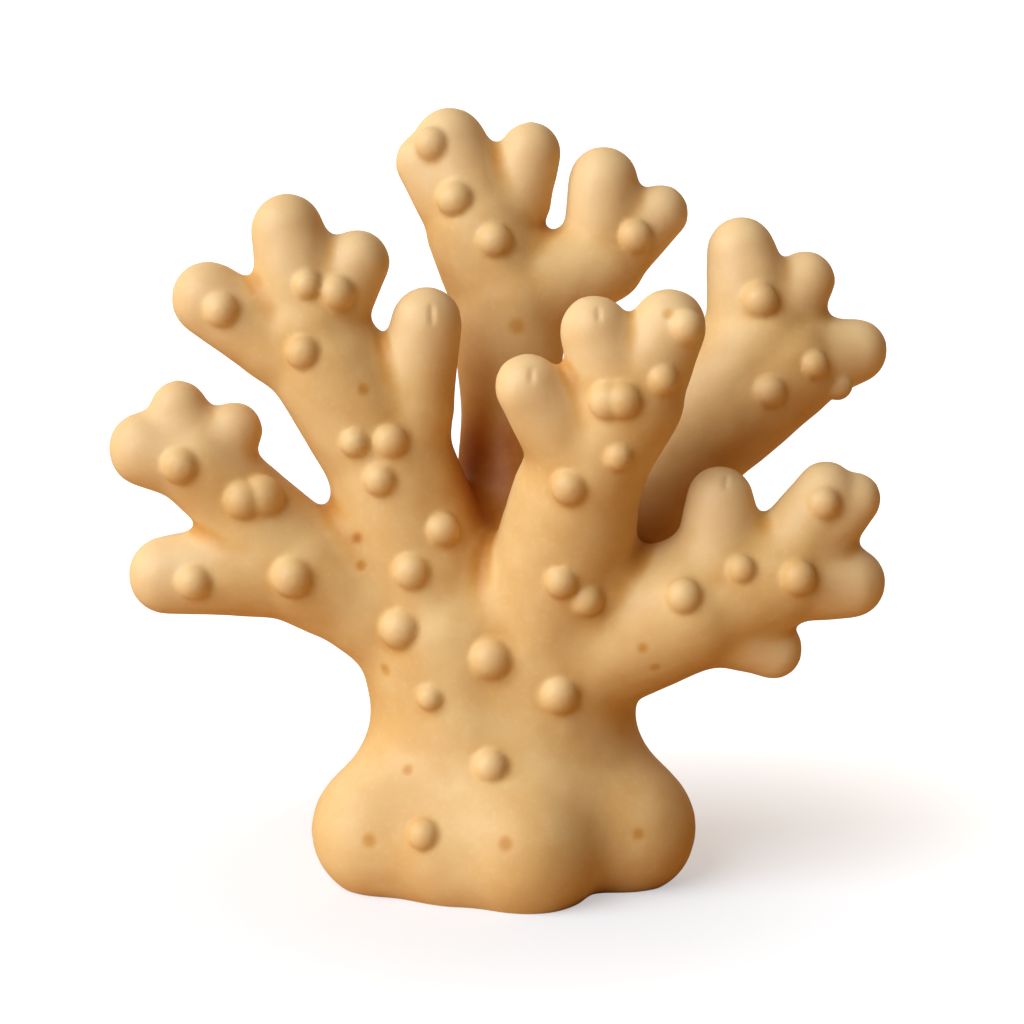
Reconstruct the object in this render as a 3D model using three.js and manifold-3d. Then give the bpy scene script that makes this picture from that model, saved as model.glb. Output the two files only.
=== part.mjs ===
// Antler coral: a knobbed, branching colony on one lobed foot, in millimetres, +Z up.
// The colony grew as one piece. It is parted by saw cuts at its main forks, into a trunk on its
// foot and the branches that leave it. The front of the colony faces -Y, and the origin is on the
// flat underside of the foot.
import * as THREE from "three";
import { mergeVertices } from "three/addons/utils/BufferGeometryUtils.js";
import Module from "manifold-3d";

// Driving dimensions
const SAW_GAP = 0.3; // width of the cut between a branch and the stub that it left
const SAW_SIDES = 24; // facets round the disc that makes the cut
const CAST_FROM = 300; // where the lines that seat the knobs start, well outside the colony
const KNOB_SUNK = 0.3; // share of a knob's radius that lies below the skin
const KNOB_SIDES = 5; // facets round a knob
const KNOB_RINGS = 4; // facets from pole to pole of a knob
const TIP_MARK = 1; // radius of the mark inside a tip by which a sawn piece is told
const LIMB_START = 0.87; // share of a station's radius that the limbs leaving it start with
const LIMB_SIDES = 9; // facets round a limb
const LIMB_ARC_STEPS = 3; // facets along each round end of a limb
const FACET_SWELL = 1.03; // how much thicker limbs are made, so that facets straddle the round skin
const BLOCK = 400; // side of the block that cuts the foot flat, larger than the whole colony

// One station of the growth: where it is, how thick it is there, and what grows on from it.
function grow(x, y, z, radius, ...next) {
  return { at: new THREE.Vector3(x, y, z), radius, next };
}

// The cut that parts a branch from the trunk: its centre, its radius and the way the branch leaves.
function saw(x, y, z, radius, ...away) {
  return { at: new THREE.Vector3(x, y, z), radius, away: new THREE.Vector3(...away).normalize() };
}

// The foot flares out of the trunk into shallow lobes, and the trunk is two stout columns side by side.
const TRUNK = grow(
  0, 0, 30, 22,
  grow(-31, -13, 11, 17),
  grow(-12, -18, 11, 17),
  grow(6, -24, 11.5, 17),
  grow(32, -7, 12, 17),
  grow(20, 14, 12, 18),
  grow(-20, 14, 12, 18),
  grow(-8, 0, 42, 25, grow(-12, 0, 60, 24)),
  grow(8, 0, 42, 25, grow(10, -1, 60, 23.5)),
);

// The flare's half width across, by height. It is less deep than it is wide.
const FLARE = [
  [39, -2],
  [43.5, 9],
  [42, 19],
  [34, 33],
  [31, 44],
];
const FLARE_DEPTH = 0.7; // the flare's depth over its width
const FLARE_SIDES = 14; // facets round the flare
const FLARE_AT = new THREE.Vector3(0, -3, 0); // the flare lies a little to the front of the columns

// Each branch: the stations it grows through, from its root inside the trunk, and its saw cut.
const BRANCHES = {
  left_low_branch: {
    cut: saw(-46, -6, 80.5, 18.5, -0.99, 0, 0.1),
    root: grow(
      -14, 0, 60, 19,
      grow(
        -35, -4, 73, 14.5,
        grow(
          -50, -6, 81, 14.5,
          grow(-83, -9, 78.5, 9.8),
          grow(
            -65.5, -7, 97.5, 11.5,
            grow(
              -75, -8, 107.5, 11.5,
              grow(-87.5, -9, 110.5, 9.1),
              grow(-79.5, -8, 120, 6.9),
              grow(-66, -8, 115, 6.9),
            ),
          ),
        ),
      ),
    ),
  },
  left_high_branch: {
    cut: saw(-25.5, -2.5, 98, 19, -0.29, -0.06, 0.95),
    root: grow(
      -14, 0, 60, 22,
      grow(
        -28, -3, 106, 15.8,
        grow(
          -43, -4, 131, 14.5,
          grow(-47, -4, 140, 13, grow(-52.5, -4, 164, 8.6), grow(-35.5, -4, 156, 7.8)),
          grow(-72, -5, 147, 8.8),
        ),
        grow(-18.5, -7, 141.5, 8.4),
      ),
    ),
  },
  front_branch: {
    cut: saw(16.2, -15.6, 92, 18.5, 0.17, -0.32, 0.93),
    root: grow(
      10, -4, 58, 21,
      grow(
        17.5, -18, 99, 15.5,
        grow(
          21, -21, 110, 14.5,
          grow(6, -30, 129, 7.7),
          grow(29.5, -25, 125, 13.5, grow(22, -28, 142.5, 8.1), grow(39.5, -27, 143, 8.9)),
        ),
      ),
    ),
  },
  back_branch: {
    cut: saw(1.6, 17.8, 99, 16.3, -0.07, 0.25, 0.97),
    root: grow(
      4, 8, 62, 18,
      grow(
        0.5, 22, 115, 12,
        grow(
          2, 27, 143, 15,
          grow(
            -5, 29, 161, 14.5,
            grow(-20, 30, 178, 7.2),
            grow(-13.5, 31, 182, 9.4),
            grow(7, 30, 180.5, 7.6),
          ),
          grow(25, 28, 154, 12, grow(25.5, 29, 173, 8.7), grow(40, 29, 165, 7.1)),
        ),
      ),
    ),
  },
  right_high_branch: {
    cut: saw(38.5, 22, 96, 19.5, 0.6, 0.24, 0.77),
    root: grow(
      12, 12, 62, 18,
      grow(
        47, 26, 107, 17,
        grow(66, 29, 131, 15, grow(61, 30, 155, 8.7), grow(77.5, 31, 147.5, 7.5)),
        grow(72, 28, 126, 15, grow(90.5, 29, 129.5, 8.2)),
      ),
    ),
  },
  right_low_branch: {
    cut: saw(37, -12, 69.5, 20.5, 0.98, -0.2, 0.05),
    root: grow(
      14, -4, 58, 19,
      grow(
        46, -15, 73, 16.5,
        grow(53, -16, 83, 12, grow(53, -17, 99.5, 7.9)),
        grow(66.5, -15, 61.5, 7.2),
        grow(
          68, -16, 81, 13,
          grow(78.5, -17, 101.5, 7.1),
          grow(86, -16, 99.5, 6),
          grow(85, -16, 78.5, 8.7),
        ),
      ),
    ),
  },
};

// The ways from which knobs are seated on the skin.
const SIDES = {
  front: new THREE.Vector3(0, -1, 0),
  back: new THREE.Vector3(0, 1, 0),
  left: new THREE.Vector3(-1, 0, 0),
  right: new THREE.Vector3(1, 0, 0),
};

// Knobs on the skin, by the side that shows them: place across (X, or Y on the left and right
// sides), height and radius.
const KNOBS = {
  front: [
    // left high branch
    [-68, 145.5, 4.1],
    [-47, 151.5, 3.4],
    [-40, 149.5, 4.3],
    [-48.5, 135.5, 4.1],
    [-36, 113.5, 3.4],
    [-27, 114, 4.1],
    [-30, 104.5, 3.9],
    // left low branch
    [-78.5, 108, 4.4],
    [-62.5, 100, 4.1],
    [-58.5, 101, 4.6],
    [-75.5, 79, 4.2],
    [-51.5, 80.5, 4.9],
    // trunk
    [-14.5, 92, 4.2],
    [-22.5, 82, 4.4],
    [-25.5, 67.5, 4.9],
    [-3, 61, 5.1],
    [-18, 51, 3.2],
    [14, 52, 4.7],
    [-3, 35, 4.2],
    [-19.5, 19, 3.9],
    [14, 81.5, 3.9],
    [20.5, 76.5, 3.9],
    // back branch
    [-18.5, 183, 4.3],
    [-12.5, 169.5, 4.5],
    [-2, 159.5, 4.3],
    [33.5, 160, 4.3],
    // front branch
    [43.5, 144, 4],
    [38, 131.5, 3.5],
    [24.5, 127, 3.8],
    [28, 127.5, 3.8],
    [27.5, 113, 3.3],
    [15.5, 105.5, 4.3],
    // right low branch
    [43.5, 78.5, 4.3],
    [57.5, 84.5, 3.4],
    [71.5, 82.5, 4.3],
    [77.5, 100, 3.9],
    // right high branch
    [65, 144, 4.6],
    [67.5, 121.5, 4],
    [79, 128, 3.5],
    [86, 121, 3.6],
  ],
  back: [
    // left low branch
    [-84, 80, 4.2],
    [-66, 82, 4.4],
    [-57, 95, 3.9],
    [-74, 104, 4.5],
    // left high branch
    [-66, 144, 4.2],
    [-52, 157, 4],
    [-45, 140, 4.6],
    [-36, 122, 4.2],
    [-25, 111, 3.8],
    [-20, 134, 3.9],
    // back branch
    [-14, 176, 4.3],
    [-8, 158, 4.6],
    [8, 146, 4.4],
    [27, 164, 4],
    [33, 152, 4.3],
    [1, 126, 4.2],
    // right high branch
    [62, 148, 4.3],
    [74, 138, 3.9],
    [60, 128, 4.7],
    [80, 124, 4.1],
    [52, 112, 4.4],
    // right low branch
    [50, 73, 4.2],
    [66, 84, 4],
    [78, 78, 3.6],
    // front branch
    [33, 120, 4],
    // trunk
    [-20, 84, 4.4],
    [-6, 72, 4.8],
    [14, 80, 4.1],
    [26, 68, 4.4],
    [-26, 58, 4.2],
    [4, 52, 4.6],
    [-12, 36, 4.2],
    [6, 20, 4.3],
    [30, 16, 3.8],
  ],
  left: [
    // trunk
    [18, 50, 3.8],
    [20, 22, 4.2],
  ],
  right: [
    // trunk
    [18, 44, 4],
    [20, 22, 3.8],
  ],
};

const CORAL = new THREE.MeshStandardMaterial({ color: 0xdfb074, roughness: 0.5, metalness: 0 });
const UP = new THREE.Vector3(0, 1, 0); // the axis that three.js turns a lathe profile about

const wasm = await Module();
wasm.setup();

// A closed geometry as a solid that can be joined and cut.
function solidOf(geometry) {
  geometry.deleteAttribute("normal");
  geometry.deleteAttribute("uv");
  const merged = mergeVertices(geometry);
  const index = merged.index.array;
  const triVerts = [];
  for (let i = 0; i < index.length; i += 3) {
    const corners = [index[i], index[i + 1], index[i + 2]];
    // A pole of a turned shape leaves triangles with no area.
    if (new Set(corners).size === 3) triVerts.push(...corners);
  }
  return new wasm.Manifold(
    new wasm.Mesh({
      numProp: 3,
      vertProperties: merged.attributes.position.array,
      triVerts: new Uint32Array(triVerts),
    }),
  );
}

// The same solid as a three.js mesh.
function meshOf(body, name) {
  const { vertProperties, triVerts } = body.getMesh();
  const geometry = new THREE.BufferGeometry();
  geometry.setAttribute("position", new THREE.BufferAttribute(vertProperties, 3));
  geometry.setIndex(new THREE.BufferAttribute(triVerts, 1));
  geometry.computeVertexNormals();
  const mesh = new THREE.Mesh(geometry, CORAL);
  mesh.name = name;
  return mesh;
}

// A geometry made about the origin along UP, turned to a direction and moved to a place, as a solid.
function place(geometry, at, direction) {
  geometry.applyQuaternion(new THREE.Quaternion().setFromUnitVectors(UP, direction));
  geometry.translate(...at.toArray());
  return solidOf(geometry);
}

// A stretch of limb between two stations: two balls with the cone that touches both.
function limb(from, to) {
  const along = to.at.clone().sub(from.at);
  const length = along.length();
  const start = from.radius * LIMB_START * FACET_SWELL;
  const end = to.radius * FACET_SWELL;
  const lean = Math.asin((start - end) / length);
  const profile = [];
  for (const [centre, radius, low, high] of [
    [0, start, -Math.PI / 2, lean],
    [length, end, lean, Math.PI / 2],
  ]) {
    for (let i = 0; i <= LIMB_ARC_STEPS; i++) {
      const turn = THREE.MathUtils.lerp(low, high, i / LIMB_ARC_STEPS);
      const out = Math.abs(turn) === Math.PI / 2 ? 0 : radius * Math.cos(turn);
      profile.push(new THREE.Vector2(out, centre + radius * Math.sin(turn)));
    }
  }
  return place(new THREE.LatheGeometry(profile, LIMB_SIDES), from.at, along.normalize());
}

// The limbs that grow on from a station, all the way to the tips.
function limbs(station) {
  return station.next.flatMap((next) => [limb(station, next), ...limbs(next)]);
}

// The last tip that a station's growth reaches.
function tip(station) {
  return station.next.length ? tip(station.next.at(-1)) : station;
}

// A round knob about a centre, with its poles along a direction.
function knobAt(centre, radius, direction) {
  return place(new THREE.SphereGeometry(radius, KNOB_SIDES, KNOB_RINGS), centre, direction);
}

// A knob sunk in the skin, at the first place that a line from its side meets.
function seatedKnob(skin, side, [across, up, radius]) {
  const out = SIDES[side];
  const start = out.x ? new THREE.Vector3(0, across, up) : new THREE.Vector3(across, 0, up);
  start.addScaledVector(out, CAST_FROM);
  const [hit] = new THREE.Raycaster(start, out.clone().negate()).intersectObject(skin);
  const centre = hit.point.addScaledVector(hit.face.normal, -KNOB_SUNK * radius);
  return knobAt(centre, radius, hit.face.normal);
}

// The body of the foot, from under the floor to the waist of the trunk.
function flare() {
  const closed = [[0, FLARE[0][1]], ...FLARE, [0, FLARE.at(-1)[1]]];
  const profile = closed.map(([out, up]) => new THREE.Vector2(out, up));
  const turned = new THREE.LatheGeometry(profile, FLARE_SIDES).scale(1, 1, FLARE_DEPTH);
  return place(turned, FLARE_AT, new THREE.Vector3(0, 0, 1));
}

// The whole colony before it is cut, with its knobs.
function grown() {
  const roots = [TRUNK, ...Object.values(BRANCHES).map(({ root }) => root)];
  const bare = wasm.Manifold.union([flare(), ...roots.flatMap(limbs)]);
  const skin = meshOf(bare, "skin");
  const knobs = Object.entries(KNOBS).flatMap(([side, places]) =>
    places.map((spot) => seatedKnob(skin, side, spot)),
  );
  return wasm.Manifold.union([bare, ...knobs]);
}

// The colony cut flat at the foot and sawn at its forks, each piece a mesh.
function colony() {
  const ground = place(
    new THREE.BoxGeometry(BLOCK, BLOCK, BLOCK).translate(0, BLOCK / 2, 0),
    new THREE.Vector3(),
    new THREE.Vector3(0, 0, -1),
  );
  const cuts = Object.values(BRANCHES).map(({ cut }) =>
    place(new THREE.CylinderGeometry(cut.radius, cut.radius, SAW_GAP, SAW_SIDES), cut.at, cut.away),
  );
  const pieces = grown().subtract(wasm.Manifold.union([ground, ...cuts])).decompose();

  // A piece is known by the tip that it holds, and what holds none is the trunk.
  const group = new THREE.Group();
  const marks = Object.entries(BRANCHES).map(([name, { root }]) => ({
    name,
    mark: knobAt(tip(root).at, TIP_MARK, UP),
  }));
  for (const piece of pieces) {
    const held = marks.find(({ mark }) => !piece.intersect(mark).isEmpty());
    group.add(meshOf(piece, held ? held.name : "trunk"));
  }
  return group;
}

export default colony();
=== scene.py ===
"""Antler coral: the finished skin of a branching colony, on a plain pale floor.

The colony is modelled as it grew. Limbs are pulled out of balls from station to station, fused into
one skin and softened at the forks. Knobs are then seated on the skin, the foot is cut flat, and the
skin is parted at its main forks into a trunk and the branches that leave it.

Sizes are in millimetres in the tables here, and in metres in Blender. +Z is up, and the front of the
colony faces -Y.
"""

import logging
import math
from dataclasses import dataclass, field
from enum import Enum

import bpy
import numpy as np
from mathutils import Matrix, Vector


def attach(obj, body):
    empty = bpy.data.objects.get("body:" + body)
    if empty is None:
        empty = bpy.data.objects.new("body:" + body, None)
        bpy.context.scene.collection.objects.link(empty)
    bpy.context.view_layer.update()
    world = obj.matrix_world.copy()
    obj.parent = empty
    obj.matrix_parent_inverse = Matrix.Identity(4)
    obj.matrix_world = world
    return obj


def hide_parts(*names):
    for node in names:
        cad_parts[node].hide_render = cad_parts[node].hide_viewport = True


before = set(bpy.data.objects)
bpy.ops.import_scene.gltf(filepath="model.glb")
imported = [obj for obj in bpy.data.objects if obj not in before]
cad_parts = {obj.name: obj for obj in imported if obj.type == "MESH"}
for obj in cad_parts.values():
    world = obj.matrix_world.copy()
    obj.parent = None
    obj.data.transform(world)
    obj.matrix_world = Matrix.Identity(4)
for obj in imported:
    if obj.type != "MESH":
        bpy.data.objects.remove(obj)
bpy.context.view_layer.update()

log = logging.getLogger("antler_coral")

MM = 0.001  # metres in a millimetre
TRUNK_NODE = "trunk"
NO_SNAP = 1e-7  # distance in metres within which a cut takes a point to lie on its plane


def linear(hex_colour: str) -> tuple[float, float, float, float]:
    """Turns an sRGB hex colour into the linear values that a shader takes.

    Args:
        hex_colour: The colour as six hex digits after a hash sign.

    Returns:
        Red, green, blue and an alpha of 1.
    """
    parts = [int(hex_colour[i : i + 2], 16) / 255 for i in (1, 3, 5)]
    red, green, blue = (
        part / 12.92 if part <= 0.04045 else ((part + 0.055) / 1.055) ** 2.4 for part in parts
    )
    return red, green, blue, 1.0


def add_node(
    tree: bpy.types.NodeTree, kind: str, inputs: dict | None = None, **settings: object
) -> bpy.types.Node:
    """Adds a node to a tree, with its settings and links.

    Args:
        tree: The node tree.
        kind: The node's type.
        inputs: Input names or numbers, each with a value or with another node's output.
        settings: The node's own settings by name.

    Returns:
        The new node.
    """
    made = tree.nodes.new(kind)
    for setting, value in settings.items():
        setattr(made, setting, value)
    for socket, source in (inputs or {}).items():
        if isinstance(source, bpy.types.NodeSocket):
            tree.links.new(source, made.inputs[socket])
        else:
            made.inputs[socket].default_value = source
    return made


def deselect_all() -> None:
    """Leaves object mode with nothing selected, so that an operator acts only on what follows."""
    if bpy.context.object and bpy.context.object.mode != "OBJECT":
        bpy.ops.object.mode_set(mode="OBJECT")
    bpy.ops.object.select_all(action="DESELECT")


def select_only(*objects: bpy.types.Object) -> None:
    """Selects these objects alone, with the first of them active.

    Args:
        objects: The objects to select.
    """
    deselect_all()
    for each in objects:
        each.select_set(True)
    bpy.context.view_layer.objects.active = objects[0]


def join(objects: list[bpy.types.Object], name: str) -> bpy.types.Object:
    """Joins objects into one mesh whose object sits at the origin, unturned and unscaled.

    Args:
        objects: The objects to join.
        name: The name of the result.

    Returns:
        The joined object.
    """
    select_only(*objects)
    bpy.ops.object.join()
    bpy.ops.object.transform_apply(location=True, rotation=True, scale=True)
    joined = bpy.context.object
    joined.name = name
    joined.data.name = name
    return joined


def finish_with(piece: bpy.types.Object, kind: str, **settings: object) -> None:
    """Adds a modifier to a piece and applies it.

    Args:
        piece: The piece to change.
        kind: The modifier's type.
        settings: The modifier's settings by name.
    """
    select_only(piece)
    modifier = piece.modifiers.new(kind.lower(), kind)
    for setting, value in settings.items():
        setattr(modifier, setting, value)
    bpy.ops.object.modifier_apply(modifier=modifier.name)


def positions(piece: bpy.types.Object) -> np.ndarray:
    """Gives a mesh's vertex positions in millimetres, one row each."""
    flat = np.empty(len(piece.data.vertices) * 3)
    piece.data.vertices.foreach_get("co", flat)
    return flat.reshape(-1, 3) / MM


def select_vertices(piece: bpy.types.Object, wanted: np.ndarray) -> None:
    """Goes into edit mode with these vertices of a piece selected, and nothing else.

    Args:
        piece: The piece to edit.
        wanted: True for each vertex to select.
    """
    select_only(piece)
    mesh = piece.data
    mesh.edges.foreach_set("select", np.zeros(len(mesh.edges), dtype=bool))
    mesh.polygons.foreach_set("select", np.zeros(len(mesh.polygons), dtype=bool))
    mesh.vertices.foreach_set("select", wanted)
    bpy.ops.object.mode_set(mode="EDIT")
    bpy.ops.mesh.select_mode(type="VERT")


def smoothstep(low: float, high: float, value: np.ndarray) -> np.ndarray:
    """Eases from 0 at low to 1 at high.

    Args:
        low: Where the result starts to leave 0.
        high: Where the result reaches 1.
        value: The values to ease.

    Returns:
        The eased values.
    """
    t = np.clip((value - low) / (high - low), 0, 1)
    return t * t * (3 - 2 * t)


def weigh(piece: bpy.types.Object, name: str, weights: np.ndarray, levels: int = 40) -> str:
    """Gives a piece a vertex group, with its weights rounded to a number of levels.

    Args:
        piece: The piece.
        name: The group's name.
        weights: A weight from 0 to 1 for each vertex.
        levels: How many levels the weights are rounded to.

    Returns:
        The group's name.
    """
    group = piece.vertex_groups.new(name=name)
    steps = np.rint(weights * levels).astype(int)
    for step in range(1, levels + 1):
        group.add(np.flatnonzero(steps == step).tolist(), step / levels, "REPLACE")
    return group.name


def hollowness(piece: bpy.types.Object, spread: int = 0) -> np.ndarray:
    """Measures how hollow a skin is at each vertex.

    Args:
        piece: The piece, with evenly spaced vertices.
        spread: How many times the result is evened out with its neighbours.

    Returns:
        The sum of the two curvatures per millimetre, above 0 in a hollow and below 0 on a round.
    """
    mesh = piece.data
    points = positions(piece)
    ends = np.empty(len(mesh.edges) * 2, dtype=np.int32)
    mesh.edges.foreach_get("vertices", ends)
    first, second = ends.reshape(-1, 2).T
    normals = np.empty(len(points) * 3)
    mesh.vertices.foreach_get("normal", normals)
    near = np.concatenate([first, second])
    far = np.concatenate([second, first])
    count = np.maximum(np.bincount(near, minlength=len(points)), 1)

    def neighbours(values: np.ndarray) -> np.ndarray:
        """Gives the mean over each vertex's neighbours."""
        return np.bincount(near, values[far], len(points)) / count

    mean = np.stack([neighbours(points[:, axis]) for axis in range(3)], axis=1)
    spacing = np.mean(np.sum((points[second] - points[first]) ** 2, axis=1))
    hollow = 4 * np.sum((mean - points) * normals.reshape(-1, 3), axis=1) / spacing
    for _ in range(spread):
        hollow = (hollow + neighbours(hollow)) / 2
    return hollow


@dataclass(frozen=True)
class Station:
    """One station of the growth, in millimetres."""

    at: Vector
    radius: float
    following: tuple["Station", ...] = ()

    def tips(self) -> list["Station"]:
        """Gives the ends that the growth from here reaches."""
        if not self.following:
            return [self]
        return [tip for station in self.following for tip in station.tips()]


def grow(x: float, y: float, z: float, radius: float, *following: Station) -> Station:
    """Makes a station from its place, its thickness and what grows on from it.

    Args:
        x: Place across, in millimetres.
        y: Place in depth.
        z: Height.
        radius: Thickness there.
        following: The stations that the growth goes on to.

    Returns:
        The station.
    """
    return Station(Vector((x, y, z)), radius, following)


class Side(Enum):
    """The way from which a knob is seated: the direction that side faces."""

    FRONT = (0, -1, 0)
    BACK = (0, 1, 0)
    LEFT = (-1, 0, 0)
    RIGHT = (1, 0, 0)

    def line(self, across: float, up: float) -> tuple[Vector, Vector]:
        """Gives a line that comes in from this side.

        Args:
            across: Place along X, or along Y on the left and right sides, in millimetres.
            up: Height in millimetres.

        Returns:
            The line's start and its direction, in metres.
        """
        outward = Vector(self.value)
        start = Vector((0, across, up)) if self.value[0] else Vector((across, 0, up))
        return (start * MM) + outward, -outward


@dataclass(frozen=True)
class Branch:
    """A branch: its growth from a root inside the trunk, and the plane at which it is parted."""

    node: str
    root: Station
    part_at: Vector
    part_radius: float
    leaves_along: Vector


# The foot flares out of the trunk into shallow lobes, and the trunk is two stout columns side by side.
TRUNK = grow(
    0, 0, 30, 22,
    grow(-30.5, -11, 14, 18.5),
    grow(-12, -17, 12.5, 18.5),
    grow(6, -22.5, 12.5, 19),
    grow(31, -8.5, 14, 18.5),
    grow(19, 13, 13, 19),
    grow(-19, 13, 13, 19),
    grow(-8, 0, 42, 25, grow(-12, 0, 60, 24)),
    grow(8, 0, 42, 25, grow(10, -1, 60, 23.5)),
)  # fmt: skip

BRANCHES = (
    Branch(
        "left_low_branch",
        grow(
            -14, 0, 60, 19,
            grow(
                -35, -4, 73, 14.5,
                grow(
                    -50, -6, 81, 14.5,
                    grow(-83, -9, 79, 9.4),
                    grow(
                        -65.5, -7, 97.5, 11.5,
                        grow(
                            -75, -8, 107.5, 11.5,
                            grow(-87.5, -9, 110.5, 9.1),
                            grow(-79.5, -8, 120, 6.9),
                            grow(-66, -8, 115, 6.9),
                        ),
                    ),
                ),
            ),
        ),
        Vector((-46, -6, 80.5)), 19.5, Vector((-0.99, 0, 0.1)),
    ),
    Branch(
        "left_high_branch",
        grow(
            -14, 0, 60, 22,
            grow(
                -28, -3, 106, 15.8,
                grow(
                    -43, -4, 131, 14.5,
                    grow(-47, -4, 140, 13, grow(-52.5, -4, 164, 8.6), grow(-35.5, -4, 156, 7.8)),
                    grow(-56, -4.5, 137, 10.3, grow(-72, -5, 147, 8.8)),
                ),
                grow(-22, -5.5, 121, 10, grow(-18.5, -7, 141.5, 8.4)),
            ),
        ),
        Vector((-26.5, -2.5, 103)), 20.5, Vector((-0.12, -0.06, 0.99)),
    ),
    Branch(
        "front_branch",
        grow(
            10, -4, 58, 21,
            grow(
                17.5, -18, 99, 15.5,
                grow(
                    21, -21, 110, 14.5,
                    grow(6, -30, 129, 7.7),
                    grow(29.5, -25, 125, 13.5, grow(22, -28, 142.5, 8.1), grow(39.5, -27, 143, 8.9)),
                ),
            ),
        ),
        Vector((17, -17, 96.5)), 19, Vector((0.17, -0.32, 0.93)),
    ),
    Branch(
        "back_branch",
        grow(
            4, 8, 62, 18,
            grow(
                1, 22, 115, 11.7,
                grow(
                    2, 27, 143, 15,
                    grow(
                        -6, 29, 161, 13.5,
                        grow(-20, 30, 178, 7.2),
                        grow(-13.5, 31, 182, 9.4),
                        grow(3.5, 30, 168, 8.6, grow(7, 30, 180.5, 7.6)),
                    ),
                    grow(25.5, 28, 153, 10.8, grow(25.5, 29, 173, 8.7), grow(40, 29, 165, 7.1)),
                ),
            ),
        ),
        Vector((1.2, 19, 104)), 17, Vector((-0.07, 0.25, 0.97)),
    ),
    Branch(
        "right_high_branch",
        grow(
            12, 12, 62, 18,
            grow(
                47, 26, 107, 17,
                grow(66, 29, 131, 15, grow(61, 30, 155, 8.7), grow(77.5, 31, 147.5, 7.5)),
                grow(72, 28, 126, 15, grow(90.5, 29, 129.5, 8.2)),
            ),
        ),
        Vector((41, 23.5, 99.5)), 21, Vector((0.6, 0.24, 0.77)),
    ),
    Branch(
        "right_low_branch",
        grow(
            14, -4, 58, 19,
            grow(
                46, -15, 73, 16.5,
                grow(53, -16, 83, 12, grow(53, -17, 99.5, 7.9)),
                grow(66.5, -15, 61.5, 7.2),
                grow(
                    68, -16, 81, 13,
                    grow(78.5, -17, 101.5, 7.1),
                    grow(86, -16, 99.5, 6),
                    grow(85, -16, 78.5, 8.7),
                ),
            ),
        ),
        Vector((38, -12, 69.5)), 21.5, Vector((0.98, -0.2, 0.05)),
    ),
)  # fmt: skip

# Knobs by the side that shows them: place across, height and radius.
KNOBS = {
    Side.FRONT: (
        # left high branch
        (-68, 145.5, 4.1), (-47, 151.5, 3.4), (-40, 149.5, 4.3), (-48.5, 135.5, 4.1),
        (-36, 113.5, 3.4), (-27, 114, 4.1), (-30, 104.5, 3.9),
        # left low branch
        (-78.5, 108, 4.4), (-63, 99.5, 4.7), (-58.3, 100.5, 5.2), (-75.5, 79, 4.2), (-51.5, 80.5, 4.9),
        # trunk
        (-14.5, 92, 4.2), (-22.5, 82, 4.4), (-25.5, 67.5, 4.9), (-3, 61, 5.1), (-18, 51, 3.2),
        (14, 52, 4.7), (-3, 35, 4.2), (-19.5, 19, 3.9), (14, 81.5, 3.9), (20.5, 76.5, 3.9),
        # back branch
        (-18.5, 183, 4.3), (-12.5, 169.5, 4.5), (-2, 159.5, 4.3), (33.5, 160, 4.3),
        # front branch
        (43.5, 144, 4), (38, 131.5, 3.5), (24.3, 126.7, 4.3), (28.2, 127, 4.3), (27.5, 113, 3.3),
        (15.5, 105.5, 4.3),
        # right low branch
        (43.5, 78.5, 4.3), (57.5, 84.5, 3.4), (71.5, 82.5, 4.3), (77.5, 100, 3.9),
        # right high branch
        (65, 144, 4.6), (67.5, 121.5, 4), (79, 128, 3.5), (86, 121, 3.6),
    ),
    Side.BACK: (
        # left low branch
        (-84, 80, 4.2), (-66, 82, 4.4), (-57, 95, 3.9), (-74, 104, 4.5),
        # left high branch
        (-66, 144, 4.2), (-52, 157, 4), (-45, 140, 4.6), (-36, 122, 4.2), (-25, 111, 3.8), (-20, 134, 3.9),
        # back branch
        (-14, 176, 4.3), (-8, 158, 4.6), (8, 146, 4.4), (27, 164, 4), (33, 152, 4.3), (1, 126, 4.2),
        # right high branch
        (62, 148, 4.3), (74, 138, 3.9), (60, 128, 4.7), (80, 124, 4.1), (52, 112, 4.4),
        # right low branch
        (50, 73, 4.2), (66, 84, 4), (78, 78, 3.6),
        # front branch
        (33, 120, 4),
        # trunk
        (-20, 84, 4.4), (-6, 72, 4.8), (14, 80, 4.1), (26, 68, 4.4), (-26, 58, 4.2), (4, 52, 4.6),
        (-12, 36, 4.2), (6, 20, 4.3), (30, 16, 3.8),
    ),
    Side.LEFT: ((18, 50, 3.8), (20, 22, 4.2)),
    Side.RIGHT: ((18, 44, 4), (20, 22, 3.8)),
}  # fmt: skip

# Small brown pits on the front: place across, height and radius.
PITS = (
    (-32.7, 16.3, 2.6), (0.8, 18.8, 2.6), (-23.4, 32.7, 2.0), (33.5, 17.2, 2.2), (-29, 56.6, 2.3),
    (34, 64.9, 2.0), (37.2, 59.6, 1.9), (-35.6, 89.5, 1.9), (-34.6, 83, 1.8), (-33.5, 126.6, 2.2),
    (3.5, 138.2, 3), (38.9, 147.1, 2),
)  # fmt: skip

# Painted shade deep in the forks, where little light gets in: place across, height and radius.
PAINTED_SHADE_SPOTS = ((-3, 100, 26),)

# Short creases on the front of some tips: place across, height, half length, half width and lean in degrees.
CREASES = (
    (-17.1, 144.5, 3.4, 1.2, 3), (6.9, 132.9, 2.8, 1.1, 5), (54, 104.9, 2.8, 1.1, 14), (22.6, 147, 2.8, 1, 0),
)  # fmt: skip


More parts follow.
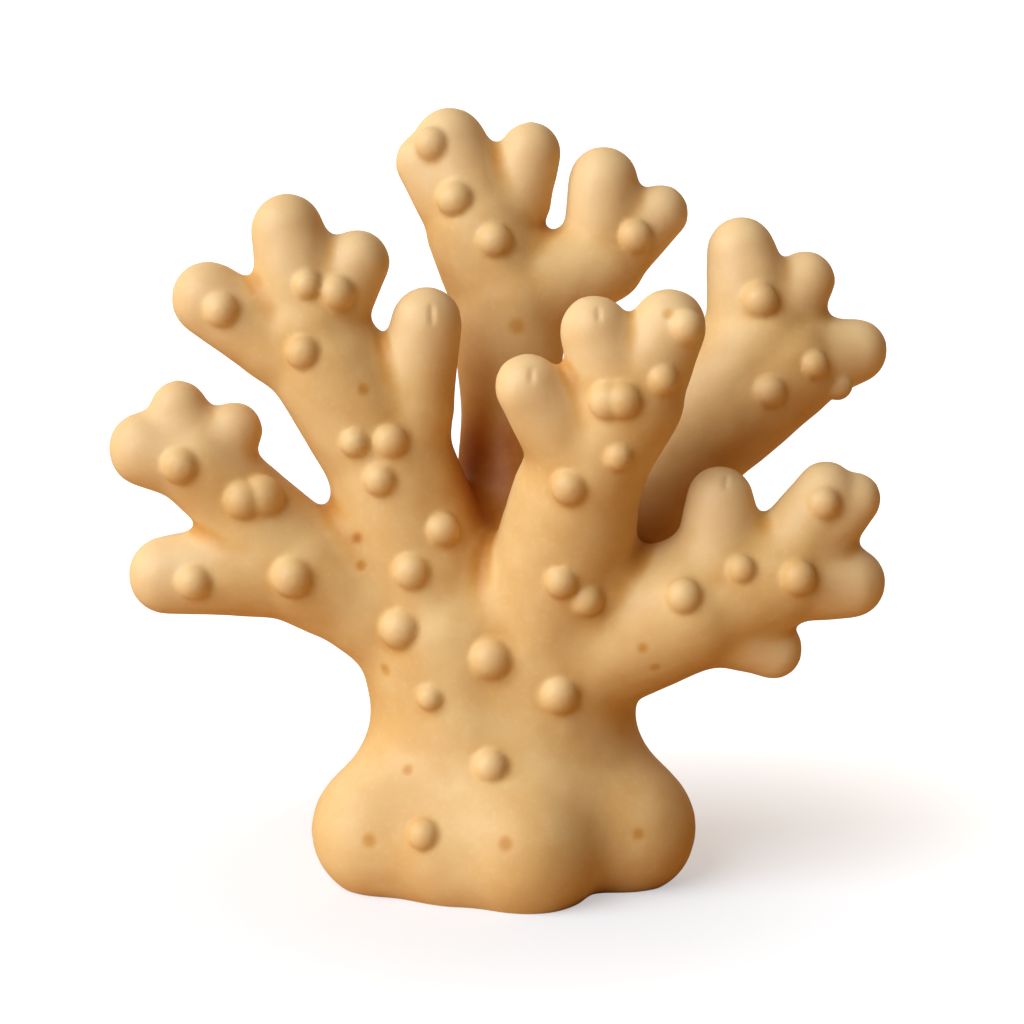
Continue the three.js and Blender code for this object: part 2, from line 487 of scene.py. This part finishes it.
@dataclass(frozen=True)
class CoralFinish:
    """Calcareous coral skeleton under a dried film: grown, smooth to the hand and satin.

    It gives the eye a warm tan that is paler on tips and knobs, painted shade that makes it browner in
    the clefts, a broad soft highlight, and a fine grain that shows only close by.
    """

    tan: str = "#DCB679"
    deep_tan: str = "#D4A867"
    pale: str = "#EDD0A0"
    painted_shade_depth: float = 0.85  # how much deeper the painted shade makes the colour in a cleft, as a share of it elsewhere
    pit_film: float = 0.55
    roughness: float = 0.5
    ior: float = 1.5
    sheen: float = 0.3  # specular level, where 0.5 is what the index of refraction gives
    mottle_mm: float = 16.0  # width of the soft patches of colour
    mottle_range: tuple[float, float] = (0.38, 0.62)  # noise at which a patch starts and is full
    mottle_share: float = 1.0
    fleck_mm: float = 1.6  # width of the fine pale flecks
    fleck_range: tuple[float, float] = (0.52, 0.72)
    fleck_share: float = 0.12
    crown_share: float = 0.4  # how much of the pale colour a tip has
    colour_detail: float = 3.0  # octaves of the noise
    grain_mm: float = 0.7  # width of the skin's grain
    grain_height_mm: float = 0.03
    grain_detail: float = 2.0

    def build(self) -> bpy.types.Material:
        """Makes the material.

        Returns:
            The material, ready to be put on a piece.
        """
        material = bpy.data.materials.new("coral_skeleton_satin")
        material.use_nodes = True
        tree = material.node_tree
        tree.nodes.clear()
        place = add_node(tree, "ShaderNodeTexCoord").outputs["Object"]
        shares = {}
        for name, width_mm, (low, high) in (
            ("mottle", self.mottle_mm, self.mottle_range),
            ("fleck", self.fleck_mm, self.fleck_range),
        ):
            noise = add_node(
                tree,
                "ShaderNodeTexNoise",
                {"Vector": place, "Scale": 1 / (width_mm * MM), "Detail": self.colour_detail},
            )
            stretched = add_node(tree, "ShaderNodeMapRange", {0: noise.outputs["Fac"], 1: low, 2: high})
            shares[name] = stretched.outputs[0]
        for name in ("crown", "painted_shade", "pit"):
            shares[name] = add_node(tree, "ShaderNodeAttribute", attribute_name=name).outputs["Fac"]
        colour = linear(self.tan)
        for name, most, over in (
            ("mottle", self.mottle_share, self.deep_tan),
            ("fleck", self.fleck_share, self.pale),
            ("crown", self.crown_share, self.pale),
        ):
            share = add_node(tree, "ShaderNodeMath", {0: shares[name], 1: most}, operation="MULTIPLY")
            mixed = add_node(
                tree, "ShaderNodeMix", {0: share.outputs[0], 6: colour, 7: linear(over)}, data_type="RGBA"
            )
            colour = mixed.outputs[2]
        # Painted shade deepens the colour in the clefts; the pits are the coral's own brown.
        for name, deeper in (("painted_shade", self.painted_shade_depth), ("pit", self.pit_film)):
            pit_and_shade_gamma = add_node(
                tree, "ShaderNodeMath", {0: shares[name], 1: deeper, 2: 1.0}, operation="MULTIPLY_ADD"
            )
            deepened = add_node(tree, "ShaderNodeGamma", {"Color": colour, "Gamma": pit_and_shade_gamma.outputs[0]})
            colour = deepened.outputs["Color"]
        grain = add_node(
            tree,
            "ShaderNodeTexNoise",
            {"Vector": place, "Scale": 1 / (self.grain_mm * MM), "Detail": self.grain_detail},
        )
        bump = add_node(
            tree, "ShaderNodeBump", {"Height": grain.outputs["Fac"], "Distance": self.grain_height_mm * MM}
        )
        shader = add_node(
            tree,
            "ShaderNodeBsdfPrincipled",
            {
                "Base Color": colour,
                "Normal": bump.outputs["Normal"],
                "Roughness": self.roughness,
                "IOR": self.ior,
                "Specular IOR Level": self.sheen,
            },
        )
        add_node(tree, "ShaderNodeOutputMaterial", {"Surface": shader.outputs["BSDF"]})
        return material


@dataclass
class Colony:
    """The coral's skin: grown, knobbed, cut flat at the foot and parted at its forks."""

    trunk: Station
    branches: tuple[Branch, ...]
    knobs: dict[Side, tuple]
    pits: tuple
    creases: tuple
    painted_shade_spots: tuple
    limb_sides: int = 24
    limb_swell_mm: float = 0.45  # what softening takes off a limb, put on beforehand
    flare_mm: tuple[float, float] = (46.0, 30.0)  # half widths of the flare at its foot and at the waist
    flare_heights_mm: tuple[float, float] = (13.5, 46.0)
    cushion_share: float = 0.36  # height of the cushion under the flare over its width
    flare_depth: float = 0.66  # the flare's depth over its width
    flare_front_mm: float = 3.0  # how far the flare lies to the front of the columns
    first_voxel_mm: float = 1.2
    fork_rounds: int = 6  # softening that takes the edges off before hollows are measured
    fill_passes: int = 14
    fill_rounds: int = 14  # softening of the hollows in each pass
    core_mm: tuple[float, float, float] = (0.0, 0.0, 62.0)  # the middle of the trunk
    core_reach_mm: tuple[float, float] = (42.0, 80.0)  # forks are wide within, and narrow beyond
    fork_limits: tuple[float, float] = (-0.01, 0.13)  # hollowness left in wide and in narrow forks
    fork_ease: float = 0.06  # hollowness past the limit at which softening is full
    foot_rounds: int = 170  # softening that melts the lobes of the foot together
    foot_top_mm: tuple[float, float] = (28.0, 48.0)  # heights where that softening fades out
    swell_mm: float = 0.9  # height of the skin's slow swells
    swell_width_mm: float = 20.0
    mark_depth_mm: float = 0.4
    pit_share: float = 0.3  # how deep a pit is, where a crease is 1
    mark_core: float = 0.2  # share of a pit's or a painted shade spot's radius that is full
    tip_reach: tuple[float, float] = (0.9, 2.2)  # radii from a tip's middle where its pale crown fades
    knob_crown: tuple[float, float] = (0.3, 0.9)  # radii above its middle where a crown starts and is full
    knob_edge: float = 1.15  # radii from a knob's middle within which the skin is the knob's
    knob_pale: float = 0.35  # how pale a knob's crown is, where a tip's is 1
    painted_shade_range: tuple[float, float] = (0.02, 0.24)  # hollowness at which the painted shade of a cleft starts and is full
    knob_painted_shade: float = 0.3  # share of the painted shade that is left round a knob
    knob_ring: tuple[float, float] = (1.4, 2.2)  # radii where that share goes back to all
    painted_shade_spread: int = 30  # rounds of evening out that spread the painted shade
    painted_shade_spot_share: float = 1.7  # how dark a painted shade spot is, where a cleft's painted shade is 1
    knob_sunk: float = 0.3  # share of a knob's radius that lies below the skin
    knob_swell_mm: float = 0.3  # what softening takes off a knob, put on beforehand
    fine_voxel_mm: float = 0.66
    part_reach_mm: float = 2.5  # how far from a parting plane the skin is taken into the cut
    knob_rounds: int = 4  # softening that rounds the crease at a knob's base
    skin: bpy.types.Object | None = field(default=None, init=False)
    seats: list = field(default_factory=list, init=False)
    pitted: np.ndarray | None = field(default=None, init=False)

    def limb(self, start: Station, end: Station) -> bpy.types.Object:
        """Pulls a limb out of a ball.

        Args:
            start: The station that the limb leaves.
            end: The station that it reaches.

        Returns:
            The limb.
        """
        along = (end.at - start.at) * MM
        swell = self.limb_swell_mm
        deselect_all()
        bpy.ops.mesh.primitive_uv_sphere_add(
            segments=self.limb_sides,
            ring_count=self.limb_sides // 2,
            radius=(start.radius + swell) * MM,
            location=start.at * MM,
            rotation=along.to_track_quat("Z", "Y").to_euler(),
        )
        limb = bpy.context.object
        select_vertices(limb, positions(limb)[:, 2] > -swell)
        bpy.ops.transform.translate(value=along)
        taper = (end.radius + swell) / (start.radius + swell)
        bpy.ops.transform.resize(value=(taper,) * 3, center_override=end.at * MM)
        bpy.ops.object.mode_set(mode="OBJECT")
        return limb

    def limbs(self, start: Station) -> list[bpy.types.Object]:
        """Pulls out every limb that grows on from a station.

        Args:
            start: The station.

        Returns:
            The limbs, all the way to the tips.
        """
        made = []
        for end in start.following:
            made.append(self.limb(start, end))
            made.extend(self.limbs(end))
        return made

    def fuse(self, voxel_mm: float) -> None:
        """Fuses the skin's overlapping shells into one even skin.

        Args:
            voxel_mm: The spacing of the new skin's points.
        """
        finish_with(self.skin, "REMESH", mode="VOXEL", voxel_size=voxel_mm * MM, use_smooth_shade=True)

    def soften(self, rounds: int, group: str = "") -> None:
        """Evens out the skin.

        Args:
            rounds: How many times each point moves half way to the mean of its neighbours.
            group: The vertex group that says how much, where it isn't the same all over.
        """
        finish_with(self.skin, "SMOOTH", factor=0.5, iterations=rounds, vertex_group=group)

    def flare(self) -> list[bpy.types.Object]:
        """Makes the body of the foot, which spreads from the waist of the trunk and is round below.

        Returns:
            The spread and the round cushion under it.
        """
        wide, narrow = self.flare_mm
        low, high = self.flare_heights_mm
        depth = self.flare_depth
        front = -self.flare_front_mm * MM
        deselect_all()
        bpy.ops.mesh.primitive_cone_add(
            vertices=2 * self.limb_sides,
            radius1=wide * MM,
            radius2=narrow * MM,
            depth=(high - low) * MM,
            location=(0, front, (low + high) / 2 * MM),
            scale=(1, depth, 1),
        )
        spread = bpy.context.object
        deselect_all()
        bpy.ops.mesh.primitive_uv_sphere_add(
            segments=2 * self.limb_sides,
            ring_count=self.limb_sides,
            radius=wide * MM,
            location=(0, front, low * MM),
            scale=(1, depth, self.cushion_share),
        )
        return [spread, bpy.context.object]

    def fill_hollows(self) -> None:
        """Fills the forks round, as growth does: wide at the trunk and narrow between fingers."""
        for _ in range(self.fill_passes):
            points = positions(self.skin)
            away = np.linalg.norm(points - np.array(self.core_mm), axis=1)
            wide, narrow = self.fork_limits
            limit = wide + (narrow - wide) * smoothstep(*self.core_reach_mm, away)
            weights = smoothstep(0, self.fork_ease, hollowness(self.skin) - limit)
            self.soften(self.fill_rounds, weigh(self.skin, "hollows", weights))
            self.skin.vertex_groups.clear()

    def grow(self) -> None:
        """Grows the bare skin, with its forks filled round."""
        roots = [self.trunk, *(branch.root for branch in self.branches)]
        limbs = [limb for root in roots for limb in self.limbs(root)]
        self.skin = join([*self.flare(), *limbs], "skin")
        self.fuse(self.first_voxel_mm)
        self.soften(self.fork_rounds)
        self.fill_hollows()
        low, high = self.foot_top_mm
        foot = 1 - smoothstep(low, high, positions(self.skin)[:, 2])
        self.soften(self.foot_rounds, weigh(self.skin, "foot", foot))
        self.skin.vertex_groups.clear()
        self.soften(self.fork_rounds)
        swells = bpy.data.textures.new("swells", "CLOUDS")
        swells.noise_scale = self.swell_width_mm * MM
        finish_with(
            self.skin, "DISPLACE", texture=swells, texture_coords="LOCAL", strength=self.swell_mm * MM
        )

    def find(self, side: Side, across: float, up: float) -> tuple[Vector, Vector]:
        """Finds the first place on the skin that a line from a side meets.

        Args:
            side: The side that the line comes from.
            across: Place across, in millimetres.
            up: Height.

        Returns:
            The place in millimetres and the skin's direction there.
        """
        start, direction = side.line(across, up)
        hit, point, normal, _ = self.skin.ray_cast(start, direction)
        if not hit:
            raise RuntimeError(f"no skin at {across}, {up} on the {side.name}")
        return point / MM, normal.copy()

    def seat_knobs(self) -> None:
        """Seats the knobs on the skin and fuses them to it."""
        knobs = []
        for side, places in self.knobs.items():
            for across, up, radius in places:
                point, normal = self.find(side, across, up)
                centre = point - normal * self.knob_sunk * radius
                deselect_all()
                bpy.ops.mesh.primitive_uv_sphere_add(
                    segments=self.limb_sides,
                    ring_count=self.limb_sides // 2,
                    radius=(radius + self.knob_swell_mm) * MM,
                    location=centre * MM,
                )
                knobs.append(bpy.context.object)
                self.seats.append((centre, normal, radius))
        self.skin = join([self.skin, *knobs], "skin")
        self.fuse(self.fine_voxel_mm)
        self.soften(self.knob_rounds)

    def press_marks(self) -> None:
        """Presses the pits and the tip creases into the skin."""
        points = positions(self.skin)
        self.pitted = np.zeros(len(points))
        for across, up, radius in self.pits:
            point, _ = self.find(Side.FRONT, across, up)
            away = np.linalg.norm(points - np.array(point), axis=1) / radius
            self.pitted = np.maximum(self.pitted, 1 - smoothstep(self.mark_core, 1, away))
        creased = np.zeros(len(points))
        for across, up, half_length, half_width, lean in self.creases:
            point, normal = self.find(Side.FRONT, across, up)
            along = Vector((math.sin(math.radians(lean)), 0, math.cos(math.radians(lean))))
            along = (along - normal * along.dot(normal)).normalized()
            offset = points - np.array(point)
            lengthwise = np.abs(offset @ np.array(along)) / half_length
            sideways = np.abs(offset @ np.array(along.cross(normal))) / half_width
            near = np.linalg.norm(offset, axis=1) < 2 * half_length
            groove = (1 - smoothstep(0.1, 1, sideways)) * (1 - smoothstep(0.3, 1, lengthwise))
            creased = np.maximum(creased, groove * near)
        group = weigh(self.skin, "marks", np.maximum(self.pitted * self.pit_share, creased))
        finish_with(
            self.skin, "DISPLACE", strength=-self.mark_depth_mm * MM, mid_level=0.0, vertex_group=group
        )
        self.skin.vertex_groups.clear()

    def cut_foot(self) -> None:
        """Cuts the foot flat at the floor."""
        select_only(self.skin)
        bpy.ops.object.mode_set(mode="EDIT")
        bpy.ops.mesh.select_all(action="SELECT")
        bpy.ops.mesh.bisect(
            plane_co=(0, 0, 0), plane_no=(0, 0, 1), use_fill=True, clear_inner=True, threshold=NO_SNAP
        )
        bpy.ops.mesh.mark_sharp()
        bpy.ops.object.mode_set(mode="OBJECT")

    def tint(self) -> None:
        """Writes on the skin how far each point is a pale crown, painted shade in a cleft or fork, or a brown
        pit.
        """
        points = positions(self.skin)
        crown = np.zeros(len(points))
        for branch in self.branches:
            for tip in branch.root.tips():
                away = np.linalg.norm(points - np.array(tip.at), axis=1) / tip.radius
                crown = np.maximum(crown, 1 - smoothstep(*self.tip_reach, away))
        for centre, normal, radius in self.seats:
            height = (points - np.array(centre)) @ np.array(normal) / radius
            away = np.linalg.norm(points - np.array(centre), axis=1) / radius
            on_knob = (away < self.knob_edge) * smoothstep(*self.knob_crown, height)
            crown = np.maximum(crown, self.knob_pale * on_knob)
        # Painted shade: the hollower the skin, the browner it is made, as shade in a cleft.
        painted_shade = smoothstep(*self.painted_shade_range, hollowness(self.skin, self.painted_shade_spread))
        for centre, _, radius in self.seats:
            away = np.linalg.norm(points - np.array(centre), axis=1) / radius
            painted_shade *= 1 - (1 - self.knob_painted_shade) * (1 - smoothstep(*self.knob_ring, away))
        # Painted shade spots deep in the forks, where little light gets in.
        for across, up, radius in self.painted_shade_spots:
            point, _ = self.find(Side.FRONT, across, up)
            away = np.linalg.norm(points - np.array(point), axis=1) / radius
            painted_shade = np.maximum(painted_shade, self.painted_shade_spot_share * (1 - smoothstep(self.mark_core, 1, away)))
        for name, values in (("crown", crown), ("painted_shade", painted_shade), ("pit", self.pitted)):
            attribute = self.skin.data.attributes.new(name, "FLOAT", "POINT")
            attribute.data.foreach_set("value", values.astype(np.float32))

    def part(self) -> dict[str, bpy.types.Object]:
        """Parts the skin at its forks.

        Returns:
            The pieces by the name of the node that each stands for.
        """
        for branch in self.branches:
            points = positions(self.skin) - np.array(branch.part_at)
            along = branch.leaves_along.normalized()
            height = points @ np.array(along)
            out = np.linalg.norm(points - np.outer(height, np.array(along)), axis=1)
            near = (np.abs(height) < self.part_reach_mm) & (out < branch.part_radius)
            select_vertices(self.skin, near)
            bpy.ops.mesh.bisect(plane_co=branch.part_at * MM, plane_no=along, threshold=NO_SNAP)
            bpy.ops.mesh.edge_split(type="EDGE")
            bpy.ops.object.mode_set(mode="OBJECT")
        select_only(self.skin)
        bpy.ops.object.mode_set(mode="EDIT")
        bpy.ops.mesh.separate(type="LOOSE")
        bpy.ops.object.mode_set(mode="OBJECT")
        loose = list(bpy.context.selected_objects)
        pieces = {}
        for piece in loose:
            points = positions(piece)
            node = TRUNK_NODE
            for branch in self.branches:
                tip = branch.root.tips()[-1]
                if np.linalg.norm(points - np.array(tip.at), axis=1).min() < tip.radius * 1.5:
                    node = branch.node
            if node in pieces:
                raise RuntimeError(f"two loose parts of the skin are both {node}")
            pieces[node] = piece
        return pieces

    def cap(self, piece: bpy.types.Object) -> None:
        """Closes a piece where it was parted.

        Args:
            piece: The piece to close.
        """
        select_only(piece)
        bpy.ops.object.mode_set(mode="EDIT")
        bpy.ops.mesh.select_mode(type="EDGE")
        bpy.ops.mesh.select_all(action="DESELECT")
        bpy.ops.mesh.select_non_manifold(
            use_wire=False, use_boundary=True, use_multi_face=False, use_non_contiguous=False, use_verts=False
        )
        bpy.ops.mesh.mark_sharp()
        bpy.ops.mesh.fill_holes(sides=0)
        bpy.ops.object.mode_set(mode="OBJECT")

    def build(self, finish: bpy.types.Material) -> None:
        """Builds and dresses every piece.

        Args:
            finish: The coral's material.
        """
        self.grow()
        self.seat_knobs()
        self.press_marks()
        self.tint()
        self.cut_foot()
        for node, piece in self.part().items():
            self.cap(piece)
            piece.name = f"{node}_skin"
            piece.data.name = piece.name
            piece.data.materials.clear()
            piece.data.materials.append(finish)
            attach(piece, "root")
            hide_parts(node)
            log.info("%s: %d faces", piece.name, len(piece.data.polygons))


@dataclass
class Studio:
    """A plain pale floor, soft light and the camera."""

    camera_elevation_deg: float = 11.0
    camera_lens_mm: float = 100.0
    camera_distance_mm: float = 711.0
    camera_target_mm: tuple[float, float, float] = (2.25, 0.0, 93.0)
    floor_size_m: float = 40.0
    floor_albedo: float = 0.5
    floor_glow: tuple[float, float] = (0.48, 0.85)  # beside the coral and away from it: weaker beside it as painted shade round the foot, stronger away where it lightens the cast shadow
    floor_glow_reach_mm: tuple[float, float] = (45.0, 190.0)
    floor_bounce: str = "#C89C62"
    key_from: tuple[float, float, float] = (-0.66, -0.53, 0.54)
    key_strength: float = 4.4
    key_angle_deg: float = 58.0
    key_colour: str = "#E5F1FF"
    fill_from: tuple[float, float, float] = (-0.45, 0.84, -0.3)
    fill_start: float = -0.5  # cosine to that direction at which the fill starts to brighten
    fill_colours: tuple[str, str] = ("#FFC27E", "#FFE9CC")  # from the far side and from that side
    fill_strength: tuple[float, float] = (0.11, 1.15)

    def set_camera(self) -> None:
        """Sets the camera at the photograph's viewing angle."""
        tilt = math.radians(self.camera_elevation_deg)
        target = Vector(self.camera_target_mm) * MM
        away = Vector((0, -math.cos(tilt), math.sin(tilt))) * self.camera_distance_mm * MM
        bpy.ops.object.camera_add(location=target + away, rotation=(math.pi / 2 - tilt, 0, 0))
        camera = bpy.context.object
        camera.data.lens = self.camera_lens_mm
        bpy.context.scene.camera = camera

    def lay_floor(self) -> None:
        """Lays the floor: white and a little aglow to the camera, and a dim warm card to the coral."""
        deselect_all()
        bpy.ops.mesh.primitive_plane_add(size=self.floor_size_m)
        floor = bpy.context.object
        floor.name = "floor"
        material = bpy.data.materials.new("floor_white")
        material.use_nodes = True
        tree = material.node_tree
        tree.nodes.clear()
        seen = add_node(tree, "ShaderNodeLightPath").outputs["Is Camera Ray"]
        white = (self.floor_albedo,) * 3 + (1.0,)
        colour = add_node(
            tree, "ShaderNodeMix", {0: seen, 6: linear(self.floor_bounce), 7: white}, data_type="RGBA"
        )
        # A painted pool of glow: weaker beside the coral as painted shade round the foot, stronger away from
        # it where it lightens the cast shadow.
        place = add_node(tree, "ShaderNodeTexCoord").outputs["Object"]
        away = add_node(tree, "ShaderNodeVectorMath", {0: place}, operation="LENGTH").outputs["Value"]
        near, far = (reach * MM for reach in self.floor_glow_reach_mm)
        weak, strong = self.floor_glow
        painted_glow_pool = add_node(
            tree,
            "ShaderNodeMapRange",
            {0: away, 1: near, 2: far, 3: weak, 4: strong},
            interpolation_type="SMOOTHSTEP",
        )
        glow = add_node(tree, "ShaderNodeMath", {0: seen, 1: painted_glow_pool.outputs[0]}, operation="MULTIPLY")
        shader = add_node(
            tree,
            "ShaderNodeBsdfPrincipled",
            {
                "Base Color": colour.outputs[2],
                "Roughness": 1.0,
                "Specular IOR Level": 0.0,
                "Emission Color": (1.0, 1.0, 1.0, 1.0),
                "Emission Strength": glow.outputs[0],
            },
        )
        add_node(tree, "ShaderNodeOutputMaterial", {"Surface": shader.outputs["BSDF"]})
        floor.data.materials.append(material)

    def add_key(self) -> None:
        """Adds the key, a very broad soft light from the upper left in front."""
        toward = Vector(self.key_from)
        bpy.ops.object.light_add(type="SUN", rotation=toward.to_track_quat("Z", "Y").to_euler())
        key = bpy.context.object
        key.name = "key"
        key.data.energy = self.key_strength
        key.data.angle = math.radians(self.key_angle_deg)
        key.data.color = linear(self.key_colour)[:3]

    def add_fill(self) -> None:
        """Adds the fill, a warm light from all round that is strongest from behind on the left."""
        world = bpy.data.worlds.new("studio")
        world.use_nodes = True
        tree = world.node_tree
        tree.nodes.clear()
        direction = add_node(tree, "ShaderNodeTexCoord").outputs["Generated"]
        toward = add_node(
            tree, "ShaderNodeVectorMath", {0: direction, 1: self.fill_from}, operation="DOT_PRODUCT"
        )
        share = add_node(tree, "ShaderNodeMapRange", {0: toward.outputs["Value"], 1: self.fill_start, 2: 1.0})
        weakest, strongest = self.fill_strength
        strength = add_node(tree, "ShaderNodeMapRange", {0: share.outputs[0], 3: weakest, 4: strongest})
        far, near = map(linear, self.fill_colours)
        colour = add_node(tree, "ShaderNodeMix", {0: share.outputs[0], 6: far, 7: near}, data_type="RGBA")
        background = add_node(
            tree, "ShaderNodeBackground", {"Color": colour.outputs[2], "Strength": strength.outputs[0]}
        )
        add_node(tree, "ShaderNodeOutputWorld", {"Surface": background.outputs["Background"]})
        bpy.context.scene.world = world

    def build(self) -> None:
        """Builds the whole studio."""
        self.set_camera()
        self.lay_floor()
        self.add_key()
        self.add_fill()
        bpy.context.scene.view_settings.view_transform = "Standard"


def main() -> None:
    """Builds the studio and the colony."""
    logging.basicConfig(level=logging.INFO, format="%(name)s: %(message)s")
    Studio().build()
    Colony(TRUNK, BRANCHES, KNOBS, PITS, CREASES, PAINTED_SHADE_SPOTS).build(CoralFinish().build())


if __name__ == "__main__":
    main()
